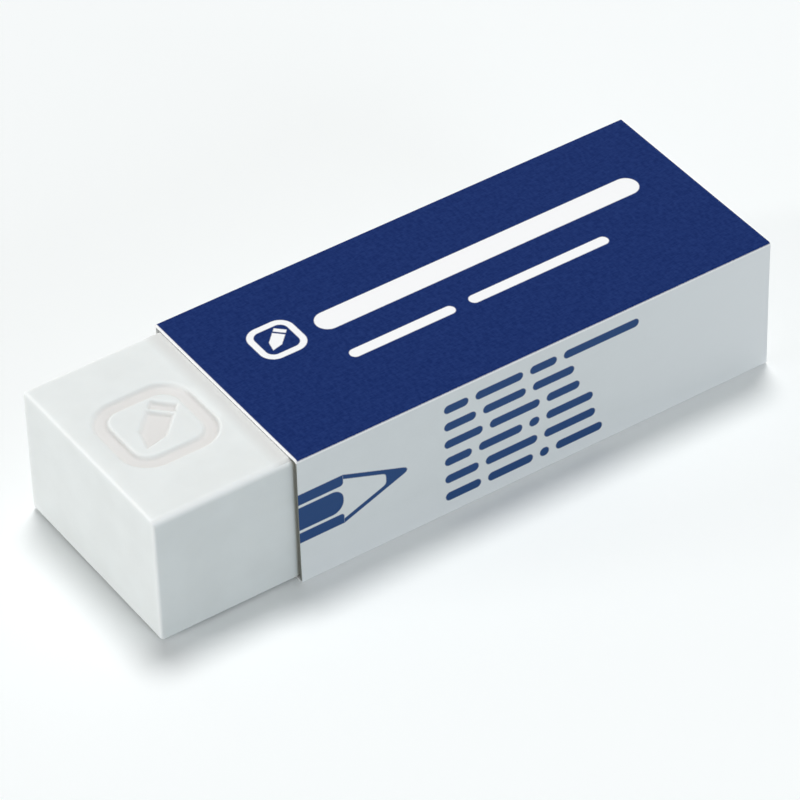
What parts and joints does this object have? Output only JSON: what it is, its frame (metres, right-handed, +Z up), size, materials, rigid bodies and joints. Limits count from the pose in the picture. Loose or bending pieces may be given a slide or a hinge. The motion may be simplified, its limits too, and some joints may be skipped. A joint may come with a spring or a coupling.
{
  "type": "eraser",
  "caption": "White vinyl eraser block in a folded card sleeve that is blue on top and pale on its sides. The block slides in the sleeve.",
  "frame": {"origin": "on the surface that the sleeve lies on, under the middle of the whole length and of the sleeve's width", "axes": "+X along the length from the bare end to the rear end, +Y across to the side with the glue flap, +Z up"},
  "size_m": [0.065, 0.0228, 0.0142],
  "materials": {
    "vinyl": "matt white vinyl with a faint bloom",
    "card": "satin card, printed dark blue on the top panel and left pale on the others"
  },
  "bodies": {
    "sleeve": {"sleeve": "card"},
    "block": {"block": "vinyl"}
  },
  "joints": [
    {"name": "block_slide", "type": "slide", "parent": "sleeve", "child": "block", "axis": [-1, 0, 0], "range_m": [-0.014, 0.031]}
  ]
}
